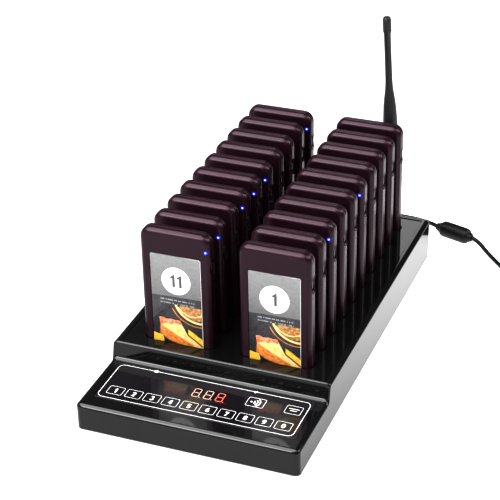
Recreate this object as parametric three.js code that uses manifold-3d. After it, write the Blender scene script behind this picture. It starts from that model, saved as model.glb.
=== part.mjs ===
// A table-top guest paging system: a charging base with a keypad, a whip
// antenna, a mains adapter on its lead, and twenty hand-held pagers that stand
// in two columns of charging wells.
//
// Millimetres, +Z up. The origin is the centre of the base's footprint on the
// table, the keypad is at -Y and the antenna and the power socket are at +Y.

import * as THREE from 'three';
import { mergeVertices } from 'three/addons/utils/BufferGeometryUtils.js';
import Module from 'manifold-3d';

const wasm = await Module();
wasm.setup();

// ---------------------------------------------------------------- dimensions

const GAP = 0.3;                    // clearance between pieces that rest on each other

// Charging base
const BASE_W = 157;
const BASE_L = 299;
const FRONT = -BASE_L / 2;          // y of the front face
const REAR = BASE_L / 2;            // y of the rear face
const SKIRT_Z = 0.8;                // lower edge of the cover's walls
const WALL = 2.4;
const RIM_TOP = 32.4;               // crest of the rim round the pager deck
const DECK_TOP = 31.9;              // pager deck, sunk inside the rim
const DECK_UNDER = 29.4;
const SHOULDER = 2.4;               // drop from a crest to the top of the side wall
const SHOULDER_W = 3.8;             // width of that sloping shoulder
const RIM_W = 1.6;                  // flat width of the crest
const KEY_DECK_TOP = 20;            // lower deck that carries the keypad
const KEY_DECK_UNDER = 17.2;
const NOSE_R = 3.2;                 // rounding of the front edge
const RISER_FOOT = 58.4;            // riser between the two decks, from the front face
const RISER_HEAD = 61.3;
const PLAN_CORNER_R = 4;

// Keypad panel, display and boards
const PANEL_W = 142;
const PANEL_D = 41;
const PANEL_T = 1;
const PANEL_SINK = 1.2;             // depth of the panel's recess
const PANEL_Y = FRONT + 33.5;       // centre line of the panel
const DISPLAY_W = 28;
const DISPLAY_D = 12;
const DISPLAY_X = 0.8;
const DISPLAY_Y = FRONT + 39.2;
const BOARD_T = 1.6;
const BOARD_Z = 9;
const MAIN_BOARD_W = 136;
const MAIN_BOARD_D = 48;
const TRAY_Z = 1.2;
const TRAY_T = 2.4;
const FOOT_R = 8;
const FOOT_INSET = 16;
const POST_R = 3;

// Pagers and their wells
const ROWS = 10;
const ROW_PITCH = 22;
const COLUMN_X = 35.1;              // centre of the right column
const FIRST_ROW_Y = FRONT + 79;     // centre plane of the front row
const PAGER_W = 50.8;
const PAGER_T = 10.6;
const PAGER_H = 101.7;
const PAGER_Z = 16.4;               // underside of a seated pager
const PAGER_CORNER_R = 7.5;
const PAGER_EDGE_R = 3.6;
const WELL_PLAY = 0.7;              // play all round between pager and well
const WELL_FLOOR = PAGER_Z - GAP - 0.1;
const WELL_FLOOR_T = 2.4;
const WELL_WALL = 1.4;
const CONTACT_W = 10;               // contact block under each well
const CONTACT_D = 3.4;

// Pager details, in the pager's own frame
const LABEL_W = 36.6;
const LABEL_H = 70;
const LABEL_Z = 13.6;               // lower edge of the label window
const LABEL_SINK = 0.8;
const WINDOW_T = 0.6;
const KEY_Z = 78;                 // centre of the side key
const KEY_LONG = 6.2;
const KEY_WIDE = 3;
const KEY_THICK = 1.6;
const KEY_SINK = 0.7;               // outer face of the key below the side
const KEY_WELL_DEPTH = 3.2;
const SCOOP = { depth: 2.2, halfWide: 4, halfLong: 6.6 };
const SHELL_WALL = 1.4;

// Antenna
const ANTENNA_X = 50.4;
const ANTENNA_Y = REAR - 8.2;
const KNUCKLE_R = 5.2;
const HINGE_Z = 47;
const EAR_RISE = 3;                 // ears of the knuckle above the hinge
const WHIP_FOOT = 5.9;              // lower end of the rubber above the hinge
const ANTENNA_TIP_Z = 197;
const ANTENNA_LEAN = THREE.MathUtils.degToRad(3.2);

// Power socket, lead and adapter
const JACK_X = 22;
const JACK_Z = 15;
const LEAD_R = 1.7;
const FERRITE_START = new THREE.Vector3(74.5, 185.7, 6.3);
const FERRITE_HEADING = Math.atan2(-7.3, 23.1);
const COIL_CENTRE = new THREE.Vector3(178, 110, 0);
const COIL_R = 19;                  // middle of the turns
const COIL_HALF = 5.3;              // half of the radial build of three turns
const COIL_H = 14;
const ADAPTER_X = 224;
const ADAPTER_Y = 104;

// Route of the lead from the plug to the ferrite core, and from there to the coil.
const LEAD_ROUTE = [
  [22, 173.1, 15], [22.3, 178, 14.4], [23.6, 183, 12.7], [26.4, 187.9, 10.1],
  [31, 192.4, 7.2], [37, 196.1, 4.6], [44, 198.5, 2.9], [51.5, 199.3, 2.2],
  [58.5, 197.8, 2.5], [64.6, 194.1, 3.8], [69.6, 189.6, 5.4], [73.8, 186.3, 6.3],
];
const RUN_ROUTE = [
  [106.2, 175.7, 6.3], [111.5, 173.6, 4.7], [116.6, 169.8, 2.7], [121.4, 164.6, 1.8],
  [128.4, 156.4, 1.8], [135.6, 148.2, 1.8], [142.6, 139.6, 1.8], [148.2, 130.4, 1.8],
  [151.4, 121.4, 1.8],
];
// From the top of the coil down to the table, round and into the adapter.
const TAIL_ROUTE = [
  [199.9, 102, 12], [200.6, 112, 12], [201, 122, 10.4], [201.6, 132, 7.2], [203.4, 141.5, 4.4],
  [208, 149, 3.4], [215.2, 151.6, 3.6], [221.4, 147.6, 4.6], [224, 138.5, 5.4],
];

// ----------------------------------------------------------------- materials

const plastic = (colour, roughness, metalness = 0) =>
  new THREE.MeshStandardMaterial({ color: colour, roughness, metalness });

const material = {
  glossBlack: plastic(0x0c0c0d, 0.12),
  panelBlack: plastic(0x121214, 0.2),
  displayRed: plastic(0x241214, 0.15),
  plum: plastic(0x3a2a30, 0.38),
  keyPlum: plastic(0x22171c, 0.45),
  window: plastic(0x6f7072, 0.12),
  boardGreen: plastic(0x1d5136, 0.6),
  cellSilver: plastic(0x9a9ca0, 0.4, 0.4),
  motorSteel: plastic(0xa7a9ac, 0.35, 0.9),
  rubberBlack: plastic(0x141415, 0.6),
  leadBlack: plastic(0x101011, 0.5),
};

// ------------------------------------------------------------- solid helpers

function toSolid(geometry) {
  const bare = geometry.clone();
  bare.deleteAttribute('normal');
  bare.deleteAttribute('uv');
  const merged = mergeVertices(bare, 1e-4);
  return new wasm.Manifold(new wasm.Mesh({
    numProp: 3,
    vertProperties: Float32Array.from(merged.attributes.position.array),
    triVerts: Uint32Array.from(merged.index.array),
  }));
}

function toGeometry(solid) {
  const mesh = solid.getMesh();
  const geometry = new THREE.BufferGeometry();
  geometry.setAttribute('position', new THREE.BufferAttribute(mesh.vertProperties, 3));
  geometry.setIndex(new THREE.BufferAttribute(mesh.triVerts, 1));
  geometry.computeVertexNormals();
  return geometry;
}

// A box given by its lowest and highest corners.
function boxBetween(low, high) {
  const size = high.map((value, axis) => value - low[axis]);
  const centre = high.map((value, axis) => (value + low[axis]) / 2);
  return toSolid(new THREE.BoxGeometry(...size).translate(...centre));
}

// A box centred on x and y that stands on z.
const boxOn = (x, y, z, width, depth, height) =>
  boxBetween([x - width / 2, y - depth / 2, z], [x + width / 2, y + depth / 2, z + height]);

// An upright cylinder, or a cone frustum, that stands on z.
function drumOn(x, y, z, radius, height, sides = 16, topRadius = radius) {
  const drum = new THREE.CylinderGeometry(topRadius, radius, height, sides);
  return toSolid(drum.rotateX(Math.PI / 2).translate(x, y, z + height / 2));
}

function roundedRectangle(width, height, radius) {
  const x = width / 2 - radius;
  const y = height / 2 - radius;
  const shape = new THREE.Shape();
  shape.absarc(x, y, radius, 0, Math.PI / 2);
  shape.absarc(-x, y, radius, Math.PI / 2, Math.PI);
  shape.absarc(-x, -y, radius, Math.PI, 1.5 * Math.PI);
  shape.absarc(x, -y, radius, 1.5 * Math.PI, 2 * Math.PI);
  shape.closePath();
  return shape;
}

// A shape in (y, z) pulled along X, centred on x = 0.
function alongX(shape, width) {
  const bar = new THREE.ExtrudeGeometry(shape, { depth: width, bevelEnabled: false, curveSegments: 4 });
  bar.applyMatrix4(new THREE.Matrix4().makeBasis(
    new THREE.Vector3(0, 1, 0), new THREE.Vector3(0, 0, 1), new THREE.Vector3(1, 0, 0)));
  return toSolid(bar.translate(-width / 2, 0, 0));
}

// A lathe profile of [radius, distance] pairs turned about Z.
function turned(profile, sides) {
  const points = profile.map(([radius, distance]) => new THREE.Vector2(radius, distance));
  return toSolid(new THREE.LatheGeometry(points, sides).rotateX(Math.PI / 2));
}

const union = (solids) => solids.reduce((sum, solid) => sum.add(solid));

const group = new THREE.Group();

function place(name, solid, look, parent = group) {
  const geometry = solid.isBufferGeometry ? solid : toGeometry(solid);
  const mesh = new THREE.Mesh(geometry, look);
  mesh.name = name;
  parent.add(mesh);
  return mesh;
}

// Every pager seat: its number, and the centre of its well.
const seats = [];
for (const [column, x] of [COLUMN_X, -COLUMN_X].entries()) {
  for (let row = 0; row < ROWS; row += 1) {
    seats.push({ number: column * ROWS + row + 1, x, y: FIRST_ROW_Y + row * ROW_PITCH });
  }
}

// ---------------------------------------------------------------- base cover

// Side view of the cover's outside, from the nose over both decks to the rear.
function coverSide() {
  const side = new THREE.Shape();
  side.moveTo(FRONT, SKIRT_Z);
  side.lineTo(REAR, SKIRT_Z);
  side.lineTo(REAR, RIM_TOP - SHOULDER);
  side.lineTo(REAR - SHOULDER_W, RIM_TOP);
  side.lineTo(FRONT + RISER_HEAD + 0.8, RIM_TOP);
  side.lineTo(FRONT + RISER_HEAD, RIM_TOP - 0.8);
  side.lineTo(FRONT + RISER_FOOT, KEY_DECK_TOP);
  side.lineTo(FRONT + NOSE_R, KEY_DECK_TOP);
  side.absarc(FRONT + NOSE_R, KEY_DECK_TOP - NOSE_R, NOSE_R, Math.PI / 2, Math.PI);
  side.closePath();
  return side;
}

// A block between two distances from the front, whose long top edges are
// sloping shoulders.
function shoulderedBlock(from, to, crest) {
  const half = BASE_W / 2;
  const end = new THREE.Shape();
  end.moveTo(-half, 0);
  end.lineTo(half, 0);
  end.lineTo(half, crest - SHOULDER);
  end.lineTo(half - SHOULDER_W, crest);
  end.lineTo(-half + SHOULDER_W, crest);
  end.lineTo(-half, crest - SHOULDER);
  end.closePath();
  const bar = new THREE.ExtrudeGeometry(end, { depth: to - from, bevelEnabled: false });
  return toSolid(bar.rotateX(Math.PI / 2).translate(0, FRONT + to, 0));
}

function coverOutside() {
  const shoulders = shoulderedBlock(-1, RISER_FOOT, KEY_DECK_TOP)
    .add(shoulderedBlock(RISER_FOOT - 0.01, BASE_L + 1, RIM_TOP));
  const plan = toSolid(new THREE.ExtrudeGeometry(
    roundedRectangle(BASE_W, BASE_L, PLAN_CORNER_R),
    { depth: RIM_TOP + 1, bevelEnabled: false, curveSegments: 3 }));
  return alongX(coverSide(), BASE_W).intersect(shoulders).intersect(plan);
}

function coverCavity() {
  const half = BASE_W / 2 - WALL;
  const underKeypad = boxBetween([-half, FRONT + WALL, 0], [half, FRONT + RISER_HEAD + 5, KEY_DECK_UNDER]);
  const underDeck = boxBetween([-half, FRONT + RISER_HEAD + 3, 0], [half, REAR - WALL, DECK_UNDER]);
  const wells = seats.map(({ x, y }) => boxOn(x, y, WELL_FLOOR - WELL_FLOOR_T,
    PAGER_W + 2 * (WELL_PLAY + WELL_WALL), PAGER_T + 2 * (WELL_PLAY + WELL_WALL), DECK_TOP));
  return underKeypad.add(underDeck).subtract(union(wells));
}

function coverCuts() {
  const sink = SHOULDER_W + RIM_W;
  const deck = boxBetween(
    [-BASE_W / 2 + sink, FRONT + RISER_HEAD + 0.8 + RIM_W, DECK_TOP],
    [BASE_W / 2 - sink, REAR - sink, RIM_TOP + 1]);
  const panel = boxOn(0, PANEL_Y, KEY_DECK_TOP - PANEL_SINK,
    PANEL_W + 2 * GAP, PANEL_D + 2 * GAP, PANEL_SINK + 1);
  const displayHole = boxOn(DISPLAY_X, DISPLAY_Y, KEY_DECK_UNDER - 1, DISPLAY_W + 1, DISPLAY_D + 1, 5);
  const socketHole = drumOn(0, 0, -6, 4.2, 12, 12).rotate([90, 0, 0]).translate([JACK_X, REAR - 2, JACK_Z]);
  const wells = seats.map(({ x, y }) => boxOn(x, y, WELL_FLOOR,
    PAGER_W + 2 * WELL_PLAY, PAGER_T + 2 * WELL_PLAY, RIM_TOP));
  const contactHoles = seats.map(({ x, y }) => boxOn(x, y, WELL_FLOOR - WELL_FLOOR_T - 1,
    CONTACT_W + 2, CONTACT_D + 2, WELL_FLOOR_T + 2));
  return union([deck, panel, displayHole, socketHole, ...wells, ...contactHoles]);
}

function addCover() {
  const antennaBoss = drumOn(ANTENNA_X, ANTENNA_Y, DECK_UNDER, KNUCKLE_R + 0.8, 5, 16, KNUCKLE_R);
  const cover = coverOutside().subtract(coverCavity()).subtract(coverCuts()).add(antennaBoss);
  place('top_cover', cover, material.glossBlack);
}

// ------------------------------------------------------- tray and electronics

function addTray() {
  const halfWide = BASE_W / 2 - WALL - GAP;
  const halfLong = BASE_L / 2 - WALL - GAP;
  const plate = boxBetween([-halfWide, -halfLong, TRAY_Z], [halfWide, halfLong, TRAY_Z + TRAY_T]);
  const feet = [];
  const posts = [];
  for (const x of [-1, 1]) {
    for (const y of [-1, 1]) {
      feet.push(drumOn(x * (BASE_W / 2 - FOOT_INSET), y * (BASE_L / 2 - FOOT_INSET), 0, FOOT_R - 0.8,
        TRAY_Z + 0.1, 12, FOOT_R));
    }
    for (const y of [FRONT + 12, FRONT + 50, FRONT + 76, 0, REAR - 20]) {
      posts.push(drumOn(x * 64, y, TRAY_Z + TRAY_T - 0.1, POST_R, BOARD_Z - TRAY_Z - TRAY_T + 0.1 - GAP, 6));
    }
  }
  place('base_tray', union([plate, ...feet, ...posts]), material.panelBlack);
}

function addElectronics() {
  const keypad = boxOn(0, PANEL_Y, KEY_DECK_TOP - PANEL_SINK + 0.1, PANEL_W, PANEL_D, PANEL_T)
    .subtract(boxOn(DISPLAY_X, DISPLAY_Y, KEY_DECK_UNDER, DISPLAY_W + 1, DISPLAY_D + 1, 5));
  place('keypad_panel', keypad, material.panelBlack);

  const displayZ = BOARD_Z + BOARD_T + GAP;
  place('display_module', boxOn(DISPLAY_X, DISPLAY_Y, displayZ, DISPLAY_W, DISPLAY_D,
    KEY_DECK_TOP - GAP - displayZ), material.displayRed);

  const mainBoard = boxOn(0, FRONT + 31, BOARD_Z, MAIN_BOARD_W, MAIN_BOARD_D, BOARD_T)
    .add(boxOn(-40, FRONT + 24, BOARD_Z + BOARD_T - 0.1, 14, 14, 1.3))
    .add(boxOn(42, FRONT + 24, BOARD_Z + BOARD_T - 0.1, 20, 9, 4));
  place('main_board', mainBoard, material.boardGreen);

  const deckLength = REAR - 18 - (FRONT + 66);
  const chargingBoard = boxOn(0, REAR - 18 - deckLength / 2, BOARD_Z, MAIN_BOARD_W, deckLength, BOARD_T);
  const contacts = seats.map(({ x, y }) => boxOn(x, y, BOARD_Z + BOARD_T - 0.1,
    CONTACT_W, CONTACT_D, WELL_FLOOR - BOARD_Z - BOARD_T));
  place('charging_board', union([chargingBoard, ...contacts]), material.boardGreen);

  const jackDepth = 11;
  const jack = boxBetween(
    [JACK_X - 4.5, REAR - WALL - GAP - jackDepth, JACK_Z - 5.5],
    [JACK_X + 4.5, REAR - WALL - GAP, JACK_Z + 5.5])
    .subtract(drumOn(0, 0, -5, 3.2, 10, 12).rotate([90, 0, 0]).translate([JACK_X, REAR - WALL - 5, JACK_Z]));
  place('dc_jack', jack, material.panelBlack);
}

// -------------------------------------------------------------------- pagers

// A slab in the pager's own frame (x across, y through, z up from its lower
// end), with rounded corners and edges, drawn in from the outside by inset.
function pagerSlab(inset) {
  const edge = Math.max(PAGER_EDGE_R - inset, 0.8);
  const corner = Math.max(PAGER_CORNER_R - inset, 1.5);
  const outline = roundedRectangle(
    PAGER_W - 2 * (inset + edge), PAGER_H - 2 * (inset + edge), Math.max(corner - edge, 0.8));
  const slab = new THREE.ExtrudeGeometry(outline, {
    depth: PAGER_T - 2 * (inset + edge), bevelEnabled: true,
    bevelSize: edge, bevelThickness: edge, bevelSegments: 2, curveSegments: 2,
  });
  slab.rotateX(Math.PI / 2);
  return toSolid(slab.translate(0, PAGER_T / 2 - inset - edge, PAGER_H / 2));
}

// The label window's shallow recess, and the scooped well of the side key.
function pagerCuts() {
  const side = PAGER_W / 2;
  const label = boxBetween(
    [-LABEL_W / 2 - GAP, -PAGER_T / 2 - 1, LABEL_Z - GAP],
    [LABEL_W / 2 + GAP, -PAGER_T / 2 + LABEL_SINK, LABEL_Z + LABEL_H + GAP]);
  const scoop = new THREE.SphereGeometry(1, 8, 4)
    .scale(SCOOP.depth, SCOOP.halfWide, SCOOP.halfLong).translate(side, 0, KEY_Z);
  const keyWell = boxBetween(
    [side - KEY_WELL_DEPTH, -KEY_WIDE / 2 - GAP, KEY_Z - KEY_LONG / 2 - GAP],
    [side + 1, KEY_WIDE / 2 + GAP, KEY_Z + KEY_LONG / 2 + GAP]);
  return union([label, toSolid(scoop), keyWell]);
}

const pagerCase = pagerSlab(0).subtract(pagerCuts());

const pagerKey = boxBetween(
  [PAGER_W / 2 - KEY_SINK - KEY_THICK, -KEY_WIDE / 2, KEY_Z - KEY_LONG / 2],
  [PAGER_W / 2 - KEY_SINK, KEY_WIDE / 2, KEY_Z + KEY_LONG / 2]);

// The first pager is built piece by piece, with its two shells and its insides.
function addOpenedPager(name, home) {
  const hollow = pagerCase.subtract(pagerSlab(SHELL_WALL + LABEL_SINK));
  const reach = PAGER_W;
  const frontHalf = boxBetween([-reach, -PAGER_T, -1], [reach, -GAP / 2, PAGER_H + 1]);
  const rearHalf = boxBetween([-reach, GAP / 2, -1], [reach, PAGER_T, PAGER_H + 1]);
  place(`${name}_front_shell`, hollow.intersect(frontHalf), material.plum, home);
  place(`${name}_rear_shell`, hollow.intersect(rearHalf), material.plum, home);
  place(`${name}_window`, boxBetween(
    [-LABEL_W / 2, -PAGER_T / 2 + LABEL_SINK - WINDOW_T - 0.1, LABEL_Z],
    [LABEL_W / 2, -PAGER_T / 2 + LABEL_SINK - 0.1, LABEL_Z + LABEL_H]), material.window, home);
  place(`${name}_board`, boxBetween([-20, -2.2, 9], [20, -1.2, 92]), material.boardGreen, home);
  place(`${name}_battery`, boxBetween([-16, -0.7, 12], [16, 2.7, 62]), material.cellSilver, home);
  place(`${name}_vibration_motor`, drumOn(0, 0, 0, 5, 2.7, 16).rotate([-90, 0, 0])
    .translate([-8, -0.4, 74]), material.motorSteel, home);
}

function addPagers() {
  for (const { number, x, y } of seats) {
    const name = `pager_${String(number).padStart(2, '0')}`;
    const home = new THREE.Group();
    home.position.set(x, y, PAGER_Z);
    group.add(home);
    if (number === 1) {
      addOpenedPager(name, home);
    } else {
      place(`${name}_case`, pagerCase, material.plum, home);
    }
    place(`${name}_key`, pagerKey, material.keyPlum, home);
  }
}

// ------------------------------------------------------------------- antenna

// The knuckle screws onto the deck's boss and turns; the whip tilts between
// the knuckle's two ears.
function addAntenna() {
  const footZ = DECK_UNDER + 5 + GAP;
  const earZ = HINGE_Z + EAR_RISE;
  const slotHalf = 2.2;
  const knuckle = drumOn(0, 0, footZ, KNUCKLE_R, earZ - footZ, 16)
    .subtract(boxBetween([-KNUCKLE_R - 1, -slotHalf, HINGE_Z - 5], [KNUCKLE_R + 1, slotHalf, earZ + 1]))
    .translate([ANTENNA_X, ANTENNA_Y, 0]);
  place('antenna_knuckle', knuckle, material.rubberBlack);

  const tip = ANTENNA_TIP_Z - HINGE_Z;
  const rubber = turned([
    [0, WHIP_FOOT], [4.6, WHIP_FOOT], [5.3, 9], [5.6, 62], [4.7, 80], [3.2, 92], [2.6, 100],
    [2.7, tip - 12], [3.1, tip - 11.4], [3, tip - 1.2], [2, tip], [0, tip],
  ], 14);
  const tongue = boxBetween([-2.8, -slotHalf + GAP, -2.8], [2.8, slotHalf - GAP, WHIP_FOOT + 0.6]);
  const whip = place('antenna_whip', rubber.add(tongue), material.rubberBlack);
  whip.position.set(ANTENNA_X, ANTENNA_Y, HINGE_Z);
  whip.rotation.y = -ANTENNA_LEAN;
}

// ------------------------------------------------------------ lead and adapter

function tube(route) {
  const path = new THREE.CatmullRomCurve3(route.map((point) => new THREE.Vector3(...point)));
  const ring = new THREE.Shape();
  ring.absarc(0, 0, LEAD_R, 0, 2 * Math.PI);
  const steps = Math.round(path.getLength() / (5 * LEAD_R));
  return new THREE.ExtrudeGeometry(ring, {
    extrudePath: path, steps, curveSegments: 8, bevelEnabled: false,
  });
}

function addLead() {
  const plug = place('dc_plug', turned([
    [0, 0], [2.6, 0], [2.6, 9.6], [4.4, 9.6], [4.4, 21], [3.2, 22.4], [2.4, 32.6], [0, 32.6],
  ], 14), material.leadBlack);
  plug.rotation.x = -Math.PI / 2;
  plug.position.set(JACK_X, REAR - 9.4, JACK_Z);

  place('dc_lead', tube(LEAD_ROUTE), material.leadBlack);

  const ferrite = place('ferrite_core', turned([
    [0, 0], [2.8, 0], [3.4, 2.6], [4.8, 3.2], [6.3, 6], [6.3, 27.6], [4.9, 29.6],
    [3.6, 30], [3.4, 32.6], [0, 32.6],
  ], 14).rotate([0, 90, 0]), material.leadBlack);
  ferrite.position.copy(FERRITE_START);
  ferrite.rotation.z = FERRITE_HEADING;

  place('dc_lead_run', tube(RUN_ROUTE), material.leadBlack);

  const ring = [[-COIL_HALF, 0], [COIL_HALF, 0], [COIL_HALF, COIL_H], [-COIL_HALF, COIL_H], [-COIL_HALF, 0]];
  const turns = turned(ring.map(([offset, z]) => [COIL_R + offset, z]), 24).translate(COIL_CENTRE.toArray());
  place('dc_lead_coil', turns.add(toSolid(tube(TAIL_ROUTE))), material.leadBlack);

  const prong = (x) => boxBetween([x - 0.75, -46, 10], [x + 0.75, -28.9, 16.3]);
  const relief = turned([[0, 28.9], [3.4, 28.9], [2.4, 34], [0, 34]], 12).rotate([-90, 0, 0])
    .translate([0, 0, 5.4]);
  const adapter = union([boxBetween([-17, -29, 0], [17, 29, 27]), prong(-6.35), prong(6.35), relief]);
  place('power_adapter', adapter, material.leadBlack).position.set(ADAPTER_X, ADAPTER_Y, 0);
}

addCover();
addTray();
addElectronics();
addPagers();
addAntenna();
addLead();

export default group;
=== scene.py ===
"""Looks of a table-top guest paging system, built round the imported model: a charging base with
a touch keypad, twenty pagers in their wells, a whip antenna, and a power lead with its adapter.

Shapes are written in millimetres and turned into metres where a mesh is made. The origin is the
centre of the base's footprint, +Z is up, the keypad is at -Y and the antenna at +Y.
"""

import math

import bmesh
import bpy
from mathutils import Matrix, Vector


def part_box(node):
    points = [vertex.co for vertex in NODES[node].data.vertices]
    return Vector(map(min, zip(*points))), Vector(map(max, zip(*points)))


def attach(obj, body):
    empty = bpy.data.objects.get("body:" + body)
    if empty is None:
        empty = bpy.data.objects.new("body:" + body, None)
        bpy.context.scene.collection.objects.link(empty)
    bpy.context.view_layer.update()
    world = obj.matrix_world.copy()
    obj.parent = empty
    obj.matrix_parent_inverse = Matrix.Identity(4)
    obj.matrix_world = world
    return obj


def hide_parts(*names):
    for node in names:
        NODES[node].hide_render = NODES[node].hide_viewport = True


MM = 0.001
TO_REAR = Matrix.Rotation(math.radians(-90), 4, "X")      # a lathe shape's axis, from +Z to +Y
TO_FRONT = Matrix.Rotation(math.radians(90), 4, "X")      # the same to -Y

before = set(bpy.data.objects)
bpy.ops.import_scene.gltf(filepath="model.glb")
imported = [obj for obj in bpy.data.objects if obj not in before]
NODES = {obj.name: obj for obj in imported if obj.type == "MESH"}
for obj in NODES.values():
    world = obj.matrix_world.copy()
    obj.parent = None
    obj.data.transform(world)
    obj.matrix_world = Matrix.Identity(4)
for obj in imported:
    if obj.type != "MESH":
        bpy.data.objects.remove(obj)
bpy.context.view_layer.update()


def node_box(*names):
    """Lowest and highest corner of some CAD nodes together, in millimetres."""
    boxes = [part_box(name) for name in names]
    low = Vector(min(box[0][axis] for box in boxes) for axis in range(3))
    high = Vector(max(box[1][axis] for box in boxes) for axis in range(3))
    return low / MM, high / MM


def middle(low, high):
    """Middle of a box in plan."""
    return ((low.x + high.x) / 2, (low.y + high.y) / 2)


# ------------------------------------------------------------------ sizes

COVER_LOW, COVER_HIGH = node_box("top_cover")
BASE_HALF = COVER_HIGH.x
FRONT = COVER_LOW.y
REAR = COVER_HIGH.y
SKIRT_Z = COVER_LOW.z               # lower edge of the walls
RIM_TOP = 32.4                      # crest round the pager deck, which is sunk inside it
DECK_TOP, DECK_UNDER = 31.9, 29.4
KEY_DECK_TOP, KEY_DECK_UNDER = 20.0, 17.2
SHOULDER_DROP, SHOULDER_WIDE = 2.4, 3.8     # rounding from the crest to the side walls
RIM_WIDE = 1.6
WALL = 2.4
NOSE_R = 3.2
RISER_FOOT, RISER_HEAD = 58.4, 61.3         # from the front face
FOOT_FILLET, HEAD_FILLET = 3.2, 1.5
PLAN_CORNER = 4.0
WELL_PLAY = 0.7                     # round a seated pager
WELL_WALL = 1.4
WELL_FLOOR, WELL_FLOOR_T = 16.0, 2.4
CONTACT_HOLE = (6.0, 2.7)           # half sizes
TRAY_UNDER, TRAY_TOP = 1.2, 3.6
FOOT_X, FOOT_Y = 62.5, 133.5
SCREW_X, SCREW_ROWS = 64, (-100, 0, 115)

PANEL_LOW, PANEL_HIGH = node_box("keypad_panel")
DISPLAY_LOW, DISPLAY_HIGH = node_box("display_module")
INK_T = 0.03                        # thickness of print
DIGIT_PITCH = 8.4
TOUCH_KEY_X, TOUCH_KEY_Y, TOUCH_KEY_PITCH = -59.4, FRONT + 23.4, 13.2
CALL_KEY = (33.4, FRONT + 41.8)
FUNCTION_KEY = (59.7, FRONT + 42)

CASE_LOW, CASE_HIGH = node_box("pager_02_case")
PAGER_SIZE = CASE_HIGH - CASE_LOW
PAGER_CORNER = 7.5                  # round corners as seen from the front
PAGER_EDGE = 3.6                    # rounding of the front and rear edges
SHELL_INSET = 2.2
PARTING_GAP = 0.15                  # half of the seam between the shells
LABEL_HALF_W, LABEL_HALF_H = 18.3, 35.0
LABEL_CENTRE_Z = 48.6               # heights on a pager count from its lower end
LABEL_CORNER = 1.3
LABEL_SINK = 0.8
WINDOW_FACE = 0.1                   # window below the case's front face
DISC_Z = 64.4
KEY_Z = 78.0
KEY_HALF_WIDE, KEY_HALF_LONG = 1.5, 3.1
LED_X, LED_Z = 22.3, 90.4
LIT_PAGERS = (3, 6, 11, 12, 14, 15, 16, 20)

EAR_RISE = 3.0                      # top of the knuckle above its hinge
WHIP_TIP = 150.0                    # from the hinge
WHIP_LEAN = math.radians(-3.2)
CORE_START = (74.5, 185.7, 6.3)
CORE_HEADING = math.atan2(-7.3, 23.1)
ADAPTER_PLACE = (224, 104)
ADAPTER_HALF_W, ADAPTER_HALF_L, ADAPTER_TOP = 17, 29, 27
RELIEF_Z = 5.4
PRONG_X, PRONG_Z = 6.35, 13.15


def pager_nodes(number):
    """The CAD nodes of one pager's case."""
    if number == 1:
        return ("pager_01_front_shell", "pager_01_rear_shell")
    return (f"pager_{number:02d}_case",)


def pager_home(number):
    """Middle of a pager's lower end, in millimetres."""
    low, high = node_box(*pager_nodes(number))
    return Vector((*middle(low, high), low.z))


HOMES = {number: pager_home(number) for number in range(1, 21)}


# ------------------------------------------------------------ node materials


def new_material(name, colour, roughness, **sockets):
    """A Principled material and its graph. The shader's other sockets are set by their own names."""
    material = bpy.data.materials.new(name)
    material.use_nodes = True
    graph = Graph(material)
    for socket, value in {"Base Color": (*colour, 1), "Roughness": roughness, **sockets}.items():
        graph.shade(socket.replace("_", " "), value)
    return material, graph


class Graph:
    """Short calls for adding nodes to one material."""

    def __init__(self, material):
        self.tree = material.node_tree
        self.shader = self.tree.nodes["Principled BSDF"]
        self.place = self.node("ShaderNodeTexCoord").outputs["Object"]

    def link(self, source, socket):
        if isinstance(source, bpy.types.NodeSocket):
            self.tree.links.new(source, socket)
        else:
            socket.default_value = source

    def shade(self, socket, source):
        """Gives one of the shader's sockets a value or another node's output."""
        self.link(source, self.shader.inputs[socket])

    def node(self, kind, sockets=None, **settings):
        node = self.tree.nodes.new(kind)
        for setting, value in settings.items():
            setattr(node, setting, value)
        for socket, source in (sockets or {}).items():
            self.link(source, node.inputs[socket])
        return node

    def scaled(self, factor):
        """Where the point is, in the piece's own axes, times a factor."""
        factor = factor if isinstance(factor, tuple) else (factor,) * 3
        return self.node("ShaderNodeVectorMath", {0: self.place, 1: factor}, operation="MULTIPLY").outputs[0]

    def distance(self, source, point):
        return self.node("ShaderNodeVectorMath", {0: source, 1: point}, operation="DISTANCE").outputs["Value"]

    def noise(self, scale, detail=2.0, stretch=(1, 1, 1)):
        sockets = {"Scale": scale, "Detail": detail, "Vector": self.scaled(stretch)}
        return self.node("ShaderNodeTexNoise", sockets).outputs["Fac"]

    def spread(self, source, low, high, from_low=0.3, from_high=0.7):
        """Maps a value from one range to another, held inside it."""
        sockets = {"Value": source, "From Min": from_low, "From Max": from_high,
                   "To Min": low, "To Max": high}
        return self.node("ShaderNodeMapRange", sockets).outputs["Result"]

    def math(self, operation, first, second=0.0):
        return self.node("ShaderNodeMath", {0: first, 1: second}, operation=operation).outputs[0]

    def mix(self, factor, *colours):
        """Mixes two colours, each a tuple or an output."""
        first, second = ((*colour, 1) if isinstance(colour, tuple) else colour for colour in colours)
        sockets = {"Factor": factor, 6: first, 7: second}
        return self.node("ShaderNodeMix", sockets, data_type="RGBA").outputs[2]

    def bump(self, height, strength, distance):
        sockets = {"Height": height, "Strength": strength, "Distance": distance}
        return self.node("ShaderNodeBump", sockets).outputs["Normal"]


def dimmed(colour, share):
    return tuple(channel * share for channel in colour)


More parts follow.
